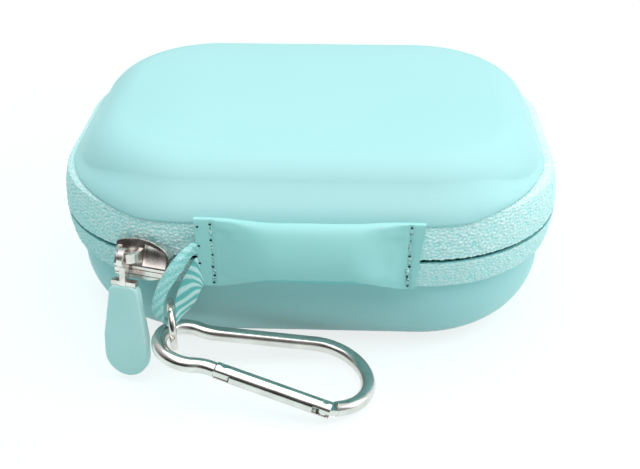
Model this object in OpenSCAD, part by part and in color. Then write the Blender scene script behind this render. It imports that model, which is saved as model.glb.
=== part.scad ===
// Earbud case cover: zipped two-half shell with a strap handle, zip pull, ribbon, ring and carabiner.
// Millimetres. +X right along the handle, -Y front (handle and hinge side), +Z up, origin under the base.

/* [Case] */
// Width over the zip belt
case_w = 105; // [80:1:160]
// Depth over the zip belt
case_d = 82; // [66:1:120]
// Height of the closed case
case_h = 44; // [38:0.5:70]
// Plan corner radius of the zip belt
corner_r = 29.5; // [24:0.5:32]
// Height of the lid above the zip slit
lid_h = 18.6; // [16:0.1:24]
// Gap between the two zip tapes
slit_gap = 0.6; // [0.5:0.1:1]

/* [Belt] */
// Height of the upper tape
tape_up_h = 8.7; // [7.5:0.1:12]
// Height of the lower tape
tape_low_h = 6.6; // [6:0.1:10]
// Thickness of the woven tape
tape_t = 0.9; // [0.6:0.1:1.2]
// Radius of the belt's outward bulge
belt_bulge_r = 27; // [22:1:60]
// Set-in of the upper groove's edge behind the tape
tuck = 2.4; // [1.5:0.1:2.6]
// Height of the belt left free of foam above and below the slit
free_h = 4.3; // [4.2:0.1:5]

/* [Shells] */
// Thickness of the cover skin
skin_t = 0.8; // [0.5:0.1:1.2]
// Thickness of the foam core
foam_t = 3; // [2:0.1:4]
// Thickness of the lining
lining_t = 0.6; // [0.4:0.1:1]
// Set-in of the lid's wall from the belt
lid_inset = 3.6; // [3:0.1:5]
// Set-in of the base's wall from the belt
base_inset = 2.7; // [2.4:0.1:4]
// Radius of the lid's upper edge
lid_edge_r = 10.5; // [7:0.5:12]
// Radius of the lid's crown
crown_r = 170; // [120:10:600]
// Radius of the base's lower edge
base_edge_r = 14; // [8:0.5:15.5]
// Depth of the binding over the foam rims
binding_h = 4; // [3:0.1:6]
// Thickness of the binding
binding_t = 0.7; // [0.4:0.1:1]

/* [Zip] */
// Depth of the coil behind the tape
coil_d = 2.2; // [1.8:0.1:3]
// Height of each coil row
coil_h = 2.7; // [2.2:0.1:3.2]
// Spacing of the coil's elements
pitch = 1.6; // [1.4:0.1:2.4]
// Width of an element along the chain
element_w = 0.62; // [0.5:0.02:0.7]
// How far an element's head reaches past the middle
head_reach = 0.4; // [0.2:0.05:0.6]
// Thickness of the filler cord
filler_t = 1; // [0.8:0.1:1.2]

/* [Slider] */
// Place of the slider round the front left corner
slider_a = 15; // [14:0.5:20]
// Length of the slider
slider_l = 11.5; // [11:0.1:12]
// Width of the slider
slider_w = 7.8; // [7.4:0.1:8.2]
// Height of the slider's lower edge over the tape
slider_top = 3.4; // [3:0.1:3.8]
// Height of the slider's upper rim over the tape
rim_up = 0.8; // [0.6:0.1:1.2]
// Height of the slider's upright front
band_h = 2.8; // [2.4:0.1:3.2]
// Depth of the dish in the slider's face
dish_depth = 0.6; // [0.3:0.05:0.7]
// Wall of the slider
slider_wall = 0.9; // [0.7:0.1:1.2]
// Running gap of the slider on the tape
slider_gap = 0.2; // [0.15:0.05:0.3]
// Width of the crown
crown_w = 2; // [1.8:0.1:2.2]
// Thickness of the crown
crown_t = 0.8; // [0.7:0.05:0.9]
// Outer radius of the crown's arch
crown_arch = 2.7; // [2.6:0.1:3]
// Height of the crown's middle above the slit
crown_up = 1.5; // [1.2:0.1:1.8]

/* [Pull] */
// Thickness of the link's metal
link_t = 1.2; // [1:0.1:1.3]
// Length of the silicone tab
tab_l = 20; // [16:0.5:20.5]
// Width of the tab at the link
tab_top_w = 5.8; // [5:0.1:7]
// Width of the tab at its end
tab_end_w = 9.2; // [8:0.1:9.6]
// Thickness of the tab
tab_t = 2.2; // [1.8:0.1:2.6]
// Lean of the hanging pull out from the case
tab_lean = 7; // [4:1:10]

/* [Handle] */
// How far each end of the strap passes the flat front
handle_over = 0.2; // [0:0.1:0.3]
// Length of each flat sewn end
handle_end = 6; // [5:0.5:8]
// Thickness of a flat sewn end
handle_end_t = 1.4; // [1:0.1:2]
// Height of the padded middle
handle_h = 12.4; // [10:0.2:14]
// Bulk of the padded middle in front of the belt
handle_bulk = 5; // [4:0.1:7]
// Thickness of the handle's cover
handle_skin = 0.8; // [0.6:0.1:1]

/* [Hanger] */
// Width of the ribbon
ribbon_w = 6; // [4:0.5:6.5]
// Thickness of the ribbon
ribbon_t = 0.45; // [0.3:0.05:0.6]
// Outside diameter of the jump ring
ring_d = 10.6; // [10:0.1:12]
// Wire of the jump ring
ring_wire = 1.5; // [1.2:0.1:1.7]
// Drop of the ring's centre below the slit
ring_drop = 13.4; // [13:0.1:14]
// Turn of the ring about the vertical
ring_turn = 12; // [-20:1:20]

/* [Carabiner] */
// Wire of the carabiner
wire = 3; // [2.6:0.1:3.2]
// Middle radius of the small eye
eye_r = 5.9; // [5.5:0.1:6.5]
// Middle radius of the large end
end_r = 9.8; // [9:0.1:11]
// Distance between the centres of the two ends
end_span = 26.4; // [24:0.2:32]
// Radius of the waist's hollows
waist_r = 7; // [4:0.5:12]
// Drop of the eye's wire below the ring's centre
eye_drop = 1; // [0.8:0.1:1.2]
// Diameter of the gate's sleeve
gate_d = 3.4; // [3:0.1:3.6]
// Radius of the gate's pins
pin_r = 0.6; // [0.5:0.05:0.8]
// Running clearance of the hinge pin
pin_clear = 0.05; // [0.03:0.01:0.09]
// Thickness of the body's tongues
tongue_t = 1.2; // [1:0.1:1.4]

/* [Mesh pocket] */
// Width of the pocket's net
net_w = 62; // [40:1:80]
// Depth of the pocket's net
net_d = 34; // [24:1:50]
// Spacing of the net's gaps
net_pitch = 3.4; // [3:0.1:6]
// Strand between two gaps
net_strand = 0.9; // [0.6:0.1:1.4]
// Thickness of the net
net_t = 0.5; // [0.3:0.1:0.8]
// Height of the elastic hem
hem_h = 3.2; // [2:0.2:6]

/* [Hidden] */
$fn = 96;
fit = 0.3;
eps = 0.01;
big = 400;
slit_z = case_h - lid_h;
a2 = case_w / 2 - corner_r;
b2 = case_d / 2 - corner_r;
slit_up = slit_z + slit_gap / 2;
slit_low = slit_z - slit_gap / 2;
belt_top = slit_up + tape_up_h;
belt_bot = slit_low - tape_low_h;
belt_mid = (belt_top + belt_bot) / 2;
flange_gap = 0.8;
up_flange = [slit_z + free_h, belt_top - flange_gap];
low_flange = [belt_bot + flange_gap, slit_z - free_h];
flange_o = -(tape_t + belt_sag(belt_top - flange_gap) + fit);
wall_t = skin_t + foam_t + lining_t;
front_y = -case_d / 2;
hs = a2 + handle_over;
tape_end_x = hs - 4;
end_a = 31;

function belt_sag(z) = belt_bulge_r - sqrt(pow(belt_bulge_r, 2) - pow(z - belt_mid, 2));
function unit2(v) = v / norm(v);

// Sweeps a profile, drawn with the belt's outline at x = corner_r, round one corner or along one side.
module corner(q, a0 = 0, a1 = 90) {
  sx = (q == 0 || q == 3) ? 1 : -1;
  sy = q < 2 ? 1 : -1;
  translate([sx * a2, sy * b2, 0]) rotate([0, 0, q * 90 + a0])
    rotate_extrude(angle = a1 - a0) children();
}
module side(s, from, to) {
  turn = s * 90;
  off = (s % 2 == 0) ? a2 : b2;
  rotate([0, 0, turn]) translate([off, to, 0]) rotate([90, 0, 0]) linear_extrude(to - from) children();
}
module all_round() {
  corner(0) children();
  corner(1) children();
  corner(2) children();
  corner(3) children();
  side(0, -b2, b2) children();
  side(1, -a2, a2) children();
  side(2, -b2, b2) children();
  side(3, -a2, a2) children();
}

// Profiles of the two shells at a depth t under the skin, from the corner's axis to the wall.
lid_r = corner_r - lid_inset;
lid_fx = lid_r - lid_edge_r;
lid_cz = case_h - crown_r;
lid_fz = lid_cz + sqrt(pow(crown_r - lid_edge_r, 2) - pow(lid_fx, 2));
module lid_face(t, low) {
  touch = (crown_r - t) * lid_fx / (crown_r - lid_edge_r);
  intersection() {
    union() {
      intersection() {
        translate([0, lid_cz]) circle(crown_r - t, $fn = 720);
        square([touch, case_h + 1]);
      }
      translate([lid_fx, lid_fz]) circle(lid_edge_r - t);
      square([lid_r - t, lid_fz]);
    }
    translate([0, low]) square([lid_r + 1, case_h]);
  }
}
base_r = corner_r - base_inset;
base_fx = base_r - base_edge_r;
module base_face(t, high) {
  intersection() {
    union() {
      translate([0, t]) square([base_fx, case_h]);
      translate([base_fx, base_edge_r]) circle(base_edge_r - t);
      translate([0, base_edge_r]) square([base_r - t, case_h]);
    }
    square([base_r + 1, high]);
  }
}
module right_half() {
  intersection() {
    children();
    translate([0, -big]) square([big, 2 * big]);
  }
}
module shell_block(z0, z1) {
  translate([-a2, -b2, z0]) cube([2 * a2, 2 * b2, z1 - z0]);
}
// A bowl between two depths, closed over the middle.
module lid_shell(t0, t1, low) {
  all_round() right_half() difference() {
    lid_face(t0, low);
    lid_face(t1, low - 1);
  }
  shell_block(case_h - t1, case_h - t0);
}
module base_shell(t0, t1, high) {
  all_round() right_half() difference() {
    base_face(t0, high);
    base_face(t1, high + 1);
  }
  shell_block(t0, t1);
}

// The belt's bulged band between two heights, with a lip tucked into the groove.
module belt_band(z0, z1) {
  intersection() {
    difference() {
      translate([corner_r - belt_bulge_r, belt_mid]) circle(belt_bulge_r, $fn = 360);
      translate([corner_r - belt_bulge_r, belt_mid]) circle(belt_bulge_r - tape_t, $fn = 360);
    }
    translate([corner_r - 6, z0]) square([12, z1 - z0]);
  }
}
lip_t = flange_gap - 0.2;
module up_tape_face() {
  belt_band(slit_up, belt_top);
  translate([corner_r - tuck - tape_t, belt_top - lip_t]) square([tuck, lip_t]);
}
module low_tape_face() {
  belt_band(belt_bot, slit_low);
  translate([corner_r - tuck - tape_t, belt_bot]) square([tuck, lip_t]);
}
module up_flange_face() {
  translate([lid_r - skin_t - foam_t, up_flange[0]])
    square([foam_t + skin_t + lid_inset + flange_o, up_flange[1] - up_flange[0]]);
}
module low_flange_face() {
  translate([base_r - skin_t - foam_t, low_flange[0]])
    square([foam_t + skin_t + base_inset + flange_o, low_flange[1] - low_flange[0]]);
}

// Lid
module lid_cover() {
  color("#bfeceb") lid_shell(0, skin_t, belt_top + 0.1);
}
module lid_core() {
  color("#555b5e") {
    lid_shell(skin_t, skin_t + foam_t, up_flange[0]);
    all_round() up_flange_face();
  }
}
module lid_lining() {
  color("#6f7b80") lid_shell(skin_t + foam_t, wall_t, up_flange[0] + binding_h);
}
bind_in = skin_t + foam_t + binding_t;
module lid_binding() {
  color("#4b5254") all_round() {
    translate([lid_r - bind_in, up_flange[0] - binding_t]) square([binding_t, binding_h]);
    translate([lid_r - bind_in, up_flange[0] - binding_t])
      square([binding_t + foam_t + skin_t, binding_t]);
  }
}
module upper_path_main() {
  corner(2, 0, 90 - end_a - 0.7) children();
  side(2, -b2, b2) children();
  corner(1) children();
  side(1, -a2, a2) children();
  corner(0) children();
  side(0, -b2, b2) children();
  corner(3) children();
  side(3, tape_end_x, a2) children();
}
module lid_zip_tape() {
  color("#a9e0dd") upper_path_main() up_tape_face();
}
module lid_tape_end() {
  color("#9fd8d5") {
    corner(2, 90 - end_a, 90) up_tape_face();
    side(3, -a2, -tape_end_x) up_tape_face();
  }
  color("#7fbcb9") corner(2, 90 - end_a, 90) row_face(1, false);
}

// Base
module base_cover() {
  color("#86c4c1") base_shell(0, skin_t, belt_bot - 0.1);
}
module base_core() {
  color("#555b5e") {
    base_shell(skin_t, skin_t + foam_t, low_flange[1]);
    all_round() low_flange_face();
  }
}
module base_lining() {
  color("#6f7b80") base_shell(skin_t + foam_t, wall_t, low_flange[1] - binding_h);
}
module base_binding() {
  color("#4b5254") all_round() {
    translate([base_r - bind_in, low_flange[1] + binding_t - binding_h]) square([binding_t, binding_h]);
    translate([base_r - bind_in, low_flange[1]]) square([binding_t + foam_t + skin_t, binding_t]);
  }
}
module lower_path() {
  corner(2) children();
  side(3, -a2, -tape_end_x) children();
  side(2, -b2, b2) children();
  corner(1) children();
  side(1, -a2, a2) children();
  corner(0) children();
  side(0, -b2, b2) children();
  corner(3) children();
  side(3, tape_end_x, a2) children();
}
module base_zip_tape() {
  color("#a9e0dd") lower_path() low_tape_face();
}

// Zip coil: a filler cord with one element after another; up is 1 for the lid and -1 for the base.
function coil_end(up) = slit_z + up * (slit_gap / 2 + coil_h);
function coil_x(up) = corner_r - tape_t - belt_sag(coil_end(up)) - 0.1 - coil_d;
module row_face(up, reach) {
  z0 = reach ? -head_reach : slit_gap / 2;
  a = slit_z + up * z0;
  b = coil_end(up);
  translate([coil_x(up), min(a, b)]) square([coil_d, abs(b - a)]);
}
module filler_face(up) {
  a = coil_end(up) - up * 0.3;
  b = a - up * filler_t;
  translate([coil_x(up) + 0.5, min(a, b)]) square([coil_d - 1, abs(b - a)]);
}
module side_row(s, from, to, up, reach) {
  n = floor((to - from) / pitch);
  shift = (up > 0) ? 0 : pitch / 2;
  for (i = [0 : n - 1]) {
    at = from + shift + i * pitch + (to - from - n * pitch) / 2;
    side(s, at, at + element_w) row_face(up, reach);
  }
}
module corner_row(q, a0, a1, up, reach) {
  r_mid = coil_x(up) + coil_d / 2;
  step0 = pitch / r_mid * 180 / PI;
  n = floor((a1 - a0) / step0);
  step = (a1 - a0) / n;
  shift = (up > 0) ? 0 : step / 2;
  for (i = [0 : n - 1]) {
    at = a0 + shift + i * step;
    corner(q, at, at + step * element_w / pitch) row_face(up, reach);
  }
}
module coil_rows(up) {
  left_a = (up > 0) ? 90 - end_a - 1.5 : 90;
  corner_row(2, 0.6, left_a, up, false);
  side_row(2, -b2, b2, up, true);
  corner_row(1, 0, 90, up, true);
  side_row(1, -a2, a2, up, true);
  corner_row(0, 0, 90, up, true);
  side_row(0, -b2, b2, up, true);
  corner_row(3, 0, 90, up, false);
}
module lid_zip_coil() {
  color("#8fcac7") {
    upper_path_main() filler_face(1);
    coil_rows(1);
  }
}
module base_zip_coil() {
  color("#8fcac7") {
    lower_path() filler_face(-1);
    coil_rows(-1);
  }
}

// Fabric hinge on the front, between the ends of the tapes.
module spine_tape() {
  color("#93cfcc") side(3, -(tape_end_x - fit), tape_end_x - fit) belt_band(belt_bot, belt_top);
}

// Handle: a sewn strap with flat ends and a rolled, padded middle, lofted through sections along X.
function ease(t) = t < 0 ? 0 : (t > 1 ? 1 : t * t * (3 - 2 * t));
function padf(x) = ease((hs - handle_end - abs(x)) / 6);
function mixf(a, b, t) = a + (b - a) * t;
function handle_sec(x, grow) =
  let (t = padf(x),
       zc = mixf(belt_mid, (belt_top + 0.4 + belt_top + 0.4 - handle_h) / 2, t),
       hh = mixf((belt_top - belt_bot) / 2, handle_h / 2, t) + grow,
       th = mixf(handle_end_t, handle_bulk, t) / 2 + grow,
       y0 = front_y - fit / 3 - mixf(handle_end_t, handle_bulk, t) / 2,
       p = mixf(0.3, 0.8, t))
  [for (k = [0 : 23]) let (c = cos(k * 15), s = sin(k * 15))
    [x, y0 + sign(c) * pow(abs(c), p) * th, zc + sign(s) * pow(abs(s), p) * hh]];
function loft_faces(n, m) = concat(
  [for (i = [0 : n - 2]) for (k = [0 : m - 1])
    let (a = i * m + k, b = i * m + (k + 1) % m, c = a + m, d = b + m) each [[a, c, b], [b, c, d]]],
  [for (k = [1 : m - 2]) [0, k, k + 1]],
  [for (k = [1 : m - 2]) let (z = (n - 1) * m) [z, z + k + 1, z + k]]);
module handle_loft(grow, xs) {
  pts = [for (x = xs) each handle_sec(x, grow)];
  polyhedron(pts, loft_faces(len(xs), 24), convexity = 6);
}
handle_xs = [-1, -0.94, -0.86, -0.76, -0.7, -0.64, -0.58, -0.5, -0.36, -0.18, 0,
  0.18, 0.36, 0.5, 0.58, 0.64, 0.7, 0.76, 0.86, 0.94, 1] * hs;
pad_xs = [for (i = [5 : 15]) handle_xs[i]];
back_t = 0.5;
module back_of_handle() {
  translate([-hs - 1, front_y - fit / 3 - back_t, 0]) cube([2 * hs + 2, 10, case_h]);
}
module handle_cover() {
  color("#b4e8e6") difference() {
    handle_loft(0, handle_xs);
    translate([0, back_t, 0]) handle_loft(-handle_skin, pad_xs);
    back_of_handle();
  }
}
module handle_backing() {
  color("#8fcac7") intersection() {
    handle_loft(0, handle_xs);
    back_of_handle();
  }
}
pad_in = [for (i = [6 : 14]) handle_xs[i]];
module handle_pad() {
  color("#dfe6e6") translate([0, back_t, 0]) handle_loft(-handle_skin - 0.25, pad_in);
}

// Slider, drawn on the corner's axis with its outer face towards -Y, then turned to its place.
module at_slider() {
  translate([-a2, -b2, slit_z]) rotate([0, 0, -slider_a]) translate([0, -corner_r, 0])
    rotate([90, 0, 0]) children();
}
lens_r = 12.5;
nose_r = 3.2;
slider_back = 5.5;
module slider_plan(w, x0, x1) {
  intersection() {
    translate([-1, lens_r - w / 2]) circle(lens_r);
    translate([-1, w / 2 - lens_r]) circle(lens_r);
    union() {
      translate([x0, -w / 2]) square([x1 - nose_r - x0, w]);
      translate([x1 - nose_r, 0]) circle(nose_r);
    }
  }
}
// A prism along the slider, drawn in height along the belt and height over the tape.
module along(x0, x1) {
  translate([x0, 0, 0]) rotate([90, 0, 90]) linear_extrude(x1 - x0) children();
}
inner_l = 9.6;
coil_in = min(coil_x(1), coil_x(-1)) - slider_gap;
inner_z = sqrt(pow(coil_in, 2) - pow(inner_l / 2, 2)) - corner_r;
plate_t = 1;
draft = 0.3;
front_lo = draft - slider_w / 2;
front_hi = front_lo + band_h;
nose_x = slider_l - slider_back;
face_a = atan((slider_top - rim_up) / (slider_w / 2 - front_hi));
face_n = [sin(face_a), cos(face_a)];
face_mid = [(slider_w / 2 + front_hi) / 2, (slider_top + rim_up) / 2];
function face_z(y) = rim_up + (slider_w / 2 - y) * tan(face_a);
dish_r = 5;
dish_x = 0.5;
dish_rim = 0.7;
module slider_body() {
  w = slider_w;
  in_w = w - 2 * slider_wall;
  color("#b9b9b6") at_slider() {
    difference() {
      intersection() {
        translate([0, 0, slider_gap]) linear_extrude(slider_top) slider_plan(w, -slider_back, nose_x);
        along(-slider_back - 1, nose_x + 1)
          polygon([[w / 2, slider_gap], [w / 2, rim_up], [front_hi, slider_top], [front_lo, slider_top],
            [-w / 2, slider_gap]]);
      }
      intersection() {
        translate([0, 0, -1]) linear_extrude(slider_top) slider_plan(in_w, -slider_back - 1, nose_x - 2.4);
        along(-slider_back - 1, nose_x)
          polygon([[-in_w / 2, -1], [-in_w / 2, slider_top - 1.6], [front_hi, slider_top - 1.6],
            [in_w / 2 - 0.6, rim_up - 0.2], [in_w / 2 - 0.6, -1]]);
      }
      intersection() {
        linear_extrude(slider_top + 1) slider_plan(w - 2 * dish_rim, dish_x, nose_x - dish_rim);
        along(dish_x, nose_x) translate(face_mid + face_n * (dish_r - dish_depth)) circle(dish_r);
      }
    }
    translate([0, 0, inner_z - plate_t]) linear_extrude(plate_t)
      slider_plan(w - 2, -inner_l / 2, inner_l / 2);
    translate([1, -(slit_gap / 2 - 0.1), inner_z - eps])
      cube([2.6, slit_gap - 0.2, slider_top - 1.2 - inner_z]);
  }
}
crown_x = -2.4;
crown_z = face_z(crown_up) + 0.2;
module slider_crown() {
  color("#c6c6c2") at_slider() intersection() {
    translate([crown_x, crown_up + crown_w / 2, crown_z]) rotate([90, 0, 0]) linear_extrude(crown_w)
      difference() {
        circle(crown_arch);
        circle(crown_arch - crown_t);
      }
    along(-slider_back - 1, nose_x)
      polygon([[front_hi, slider_top], [slider_w / 2, rim_up], [slider_w / 2, 4 * slider_top],
        [front_hi, 4 * slider_top]]);
  }
}

// Ribbon sewn under the handle's left end: one band down, under the ring's top, and up again.
ring_c = [-(hs + 2.8), front_y - 3.3, slit_z - ring_drop];
// Offsets from the handle's left end, the front of the belt and the slit
rib_way = [[0.25, -0.8, 3], [1.1, -2.7, 0.6], [2.5, -4.9, -2.8], [4.2, -5.8, -6.8],
  [4.8, -4.9, -10.2], [4, -3.8, -12.3], [2.8, -3.4, -12.8], [1.6, -3.3, -12.3],
  [1, -3.2, -10.4], [0.8, -2.8, -7.9], [0.6, -2, -5.4], [0.25, -0.8, -3.1]];
rib_pts = [for (w = rib_way) [-hs - w[0], front_y + w[1], slit_z + w[2]]];
rib_wid = [[0, 0, 1], [0.1, 0.1, 1], [0.3, 0.5, 0.8], [0.2, 1, 0.5], [0.1, 1, 0.2], [0, 1, 0],
  [0, 1, 0], [0, 1, 0], [0, 1, 0.1], [-0.1, 0.8, 0.4], [-0.1, 0.3, 0.9], [0, 0, 1]];
function rib_tan(i) = let (n = len(rib_pts)) rib_pts[min(i + 1, n - 1)] - rib_pts[max(i - 1, 0)];
function rib_sec(i) =
  let (w = unit2(rib_wid[i]), nn = unit2(cross(rib_tan(i), w)),
       hw = (i > 2 && i < 10 ? 0.86 : 0.94) * ribbon_w / 2, ht = ribbon_t / 2, p = rib_pts[i])
  [p - w * hw - nn * ht, p + w * hw - nn * ht, p + w * hw + nn * ht, p - w * hw + nn * ht];
module ribbon_loop() {
  n = len(rib_pts);
  color("#8ed6d3") polyhedron([for (i = [0 : n - 1]) each rib_sec(i)], loft_faces(n, 4), convexity = 8);
}

// Jump ring through the ribbon and the carabiner's eye.
module jump_ring() {
  color("#c2c2bf") translate(ring_c) rotate([0, 0, ring_turn]) rotate([0, 90, 0])
    rotate_extrude() translate([(ring_d - ring_wire) / 2, 0]) circle(ring_wire / 2);
}

// Pull: a ring-headed link over the crown, with a bar and a foot for the tab moulded on it.
pull_x = -2.6;
pull_y = crown_z + sqrt(pow(crown_arch - crown_t / 2, 2) - pow(pull_x - crown_x, 2));
link_hole = 1.3;
link_head = 1.95;
link_drop = 5.6;
bar_w = tab_top_w - 0.6;
bar_t = 1.4;
bar_h = 0.9;
foot_w = 3.2;
foot_l = 3.4;
module at_pull() {
  at_slider() translate([pull_x, crown_up, pull_y]) rotate([-tab_lean, 0, 0]) children();
}
module pull_link() {
  color("#bdbdba") at_pull() {
    rotate([0, 90, 0]) translate([0, 0, -link_t / 2]) linear_extrude(link_t) difference() {
      union() {
        translate([-bar_h, -link_drop]) square([2 * bar_h, link_drop]);
        circle(link_head);
      }
      circle(link_hole);
    }
    translate([-bar_w / 2, -link_drop, -bar_t / 2]) cube([bar_w, bar_h, bar_t]);
    translate([-foot_w / 2, -link_drop - foot_l, -0.5]) cube([foot_w, foot_l + 0.2, 1]);
  }
}
module pull_tab() {
  ta = tab_top_w / 2;
  te = tab_end_w / 2;
  y0 = -link_drop;
  y1 = -link_drop - tab_l + te;
  foot = [for (k = [0 : 12]) [te * cos(k * 15), y1 - te * sin(k * 15)]];
  color("#a5dedb") at_pull() difference() {
    translate([0, 0, -tab_t / 2]) linear_extrude(tab_t)
      polygon(concat([[-te, y1 + 4], [-ta, y0], [ta, y0], [te, y1 + 4]], foot));
    translate([-foot_w / 2 - 0.1, y0 - foot_l - 0.1, -0.6]) cube([foot_w + 0.2, foot_l + 0.2, 1.2]);
  }
}

// Carabiner in its own plane: the eye's centre at the origin, the large end towards +X.
wire_r = wire / 2;
eye_z = ring_c[2] - eye_drop;
cara_tilt = asin((eye_z - wire_r) / (end_span + end_r + eye_r));
cara_y = ring_c[1] - 3.8;
eye_left = 2;
module at_carabiner() {
  translate([ring_c[0] - eye_left, cara_y, eye_z]) rotate([0, cara_tilt, 0])
    translate([eye_r, 0, 0]) children();
}
big_c = [end_span, -0.8];
nose = [7.6, -6.1];
hinge = big_c + end_r * [cos(-83), sin(-83)];
gate_len = norm(hinge - nose);
gate_dir = (nose - hinge) / gate_len;
gate_ang = atan2(gate_dir[1], gate_dir[0]);
// The back wire is the outer tangent of the two ends, drawn in by the waist.
back_a = 99.5;
back_p = big_c + end_r * [cos(back_a), sin(back_a)];
back_d = [-sin(back_a), cos(back_a)];
back_n = [cos(back_a), sin(back_a)];
function hollow_s(p0, d, n, rr) =
  let (q = p0 + n * waist_r, h = q * d, c = q * q - pow(rr + waist_r, 2)) -h - sqrt(h * h - c);
top_s = hollow_s(back_p, back_d, back_n, eye_r);
top_c = back_p + back_d * top_s + back_n * waist_r;
top_foot = top_c - back_n * waist_r;
top_eye = atan2(top_c[1], top_c[0]);
low_n = [-gate_dir[1], gate_dir[0]];
low_s = hollow_s(nose, gate_dir, low_n, eye_r);
low_c = nose + gate_dir * low_s + low_n * waist_r;
low_foot = low_c - low_n * waist_r;
low_eye = atan2(low_c[1], low_c[0]) + 360;
// Each length of wire runs a little way into the next, one or two steps of draw thinner.
draw = 0.01;
lap = 0.2;
module rod(a, b, r) {
  d = b - a;
  translate([a[0], a[1], 0]) rotate([0, 0, atan2(d[1], d[0])]) rotate([0, 90, 0])
    translate([0, 0, -lap]) cylinder(r = r, h = norm(d) + 2 * lap);
}
module bend(c, r, a0, a1, w, over = 0) {
  extra = over / r * 180 / PI;
  translate([c[0], c[1], 0]) rotate([0, 0, a0 - extra])
    rotate_extrude(angle = a1 - a0 + 2 * extra) translate([r, 0]) circle(w);
}
tongue_out = 2.3;
body_start = -83 + tongue_out / end_r * 180 / PI;
nose_back = 1.9;
module carabiner_body() {
  low_line = atan2(low_n[1], low_n[0]);
  nose_end = nose + gate_dir * nose_back;
  color("#cfcfcc") at_carabiner() {
    bend(big_c, end_r, body_start, back_a, wire_r);
    rod(back_p, top_foot, wire_r - 2 * draw);
    bend(top_c, waist_r, top_eye + 180, back_a + 180, wire_r - draw, lap);
    bend([0, 0], eye_r, top_eye, low_eye, wire_r);
    bend(low_c, waist_r, low_line + 180, low_eye - 180, wire_r - draw, lap);
    rod(low_foot, nose_end, wire_r - 2 * draw);
    // Hinge tongue between the gate's ears
    difference() {
      translate([0, 0, -tongue_t / 2]) linear_extrude(tongue_t) {
        translate(hinge) circle(wire_r - 0.1);
        translate(hinge) rotate(-83 + 90 + 7) translate([0, -wire_r + 0.2])
          square([tongue_out + 0.5, wire - 0.4]);
      }
      translate([hinge[0], hinge[1], -wire]) cylinder(r = pin_r + pin_clear, h = 2 * wire);
    }
    // Nose tongue with the notch that holds the gate's pin
    translate([0, 0, -tongue_t / 2]) linear_extrude(tongue_t) difference() {
      translate(nose) rotate(gate_ang) translate([-1.3, -wire_r + 0.2]) square([nose_back + 1.6, wire - 0.4]);
      translate(nose) circle(pin_r + 0.15);
      translate(nose) rotate(gate_ang) translate([-pin_r - 0.15, -wire]) square([2 * pin_r + 0.3, wire]);
    }
  }
}
sleeve_r = gate_d / 2;
slot_t = tongue_t + 0.2;
module at_gate() {
  at_carabiner() translate([hinge[0], hinge[1], 0]) rotate([0, 0, gate_ang]) children();
}
spring_bore = 0.8;
module gate_sleeve() {
  nose_x = gate_len + 1.5;
  color("#c8c8c4") at_gate() difference() {
    translate([-1.3, 0, 0]) rotate([0, 90, 0]) cylinder(r = sleeve_r, h = nose_x + 1.3);
    translate([-2, -sleeve_r - 1, -slot_t / 2]) cube([2 + 2.1, 2 * sleeve_r + 2, slot_t]);
    translate([gate_len - 1.6, -sleeve_r - 1, -slot_t / 2]) cube([4, 2 * sleeve_r + 2, slot_t]);
    translate([1.5, 0, 0]) rotate([0, 90, 0]) cylinder(r = spring_bore, h = 7);
    translate([0, 0, -wire]) cylinder(r = pin_r, h = 2 * wire);
    translate([gate_len, 0, -wire]) cylinder(r = pin_r, h = 2 * wire);
  }
}
module gate_pin() {
  color("#a9a9a6") at_gate() cylinder(r = pin_r, h = 2 * sleeve_r - 0.2, center = true);
}
module gate_nose_pin() {
  color("#a9a9a6") at_gate() translate([gate_len, 0, 0]) cylinder(r = pin_r, h = 2 * sleeve_r - 0.2, center = true);
}
module gate_spring() {
  color("#8c8c88") at_gate() translate([2.2, 0, 0]) rotate([0, 90, 0]) difference() {
    cylinder(r = spring_bore - 0.05, h = 6);
    translate([0, 0, -1]) cylinder(r = spring_bore - 0.35, h = 8);
  }
}

// Mesh pocket in the lid: a flat net with an elastic hem on its open edge.
net_drop = 2.4;
net_z = case_h - wall_t - net_drop;
module pocket_mesh() {
  nx = floor((net_w - 2) / net_pitch);
  ny = floor((net_d - 2) / net_pitch);
  gap = net_pitch - net_strand;
  rim_w = 1.2;
  far = norm([max(net_w / 2 - a2, 0), max(net_d / 2 - b2, 0)]);
  rim_h = lid_cz + sqrt(pow(crown_r - wall_t, 2) - pow(far, 2)) - fit - net_z;
  color("#2f3638") {
    translate([0, 0, net_z]) linear_extrude(net_t) difference() {
      translate([-net_w / 2, -net_d / 2]) square([net_w, net_d]);
      for (i = [0 : nx - 1], j = [0 : ny - 1])
        translate([(i - (nx - 1) / 2) * net_pitch - gap / 2, (j - (ny - 1) / 2) * net_pitch - gap / 2])
          square(gap);
    }
    for (s = [-1, 1])
      translate([s * (net_w - rim_w) / 2 - rim_w / 2, -net_d / 2, net_z]) cube([rim_w, net_d, rim_h]);
    translate([-net_w / 2, net_d / 2 - rim_w, net_z]) cube([net_w, rim_w, rim_h]);
  }
}
module pocket_hem() {
  color("#1f2527") translate([-net_w / 2, -net_d / 2 - hem_h, net_z - 0.3]) cube([net_w, hem_h, net_t + 0.6]);
}

base_cover();
base_core();
base_lining();
base_binding();
base_zip_tape();
base_zip_coil();
spine_tape();
handle_cover();
handle_backing();
handle_pad();
ribbon_loop();
lid_cover();
lid_core();
lid_lining();
lid_binding();
lid_zip_tape();
lid_tape_end();
lid_zip_coil();
pocket_mesh();
pocket_hem();
slider_body();
slider_crown();
pull_link();
pull_tab();
jump_ring();
carabiner_body();
gate_sleeve();
gate_pin();
gate_nose_pin();
gate_spring();
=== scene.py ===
import math

import bpy
from mathutils import Matrix, Vector, noise
from mathutils.bvhtree import BVHTree


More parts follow.
